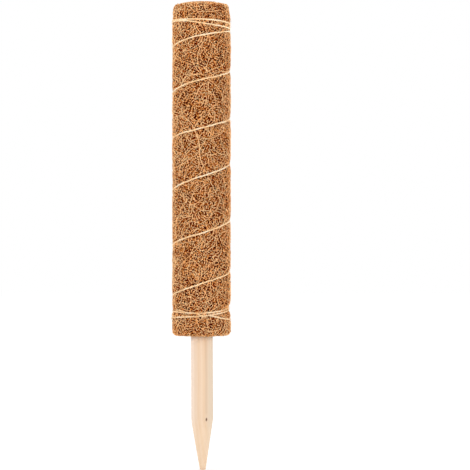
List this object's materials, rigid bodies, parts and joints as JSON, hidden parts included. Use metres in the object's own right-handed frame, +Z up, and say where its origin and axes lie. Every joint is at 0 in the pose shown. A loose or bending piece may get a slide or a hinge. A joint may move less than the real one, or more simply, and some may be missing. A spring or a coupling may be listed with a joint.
{
  "type": "moss pole",
  "caption": "Upright plant support: a coconut-fibre mat rolled round a pointed wooden stake and lashed with a spiral of cream twine, for climbing roots to grip.",
  "frame": {"origin": "on the stake's axis at the foot of the coir, where the soil line is once the stake is pushed in", "axes": "+Z up along the pole towards its top, -Y the front that the picture shows, +X to the right of it"},
  "size_m": [0.0519, 0.0537, 0.4],
  "materials": {
    "softwood": "planed, unfinished pale softwood",
    "coir": "felted curly coconut fibre",
    "twine": "twisted natural twine, slightly hairy"
  },
  "bodies": {
    "root": {"stake": "softwood", "coir_mat": "coir", "lashing_twine": "twine", "foot_knot": "twine", "head_knot": "twine"}
  },
  "joints": []
}
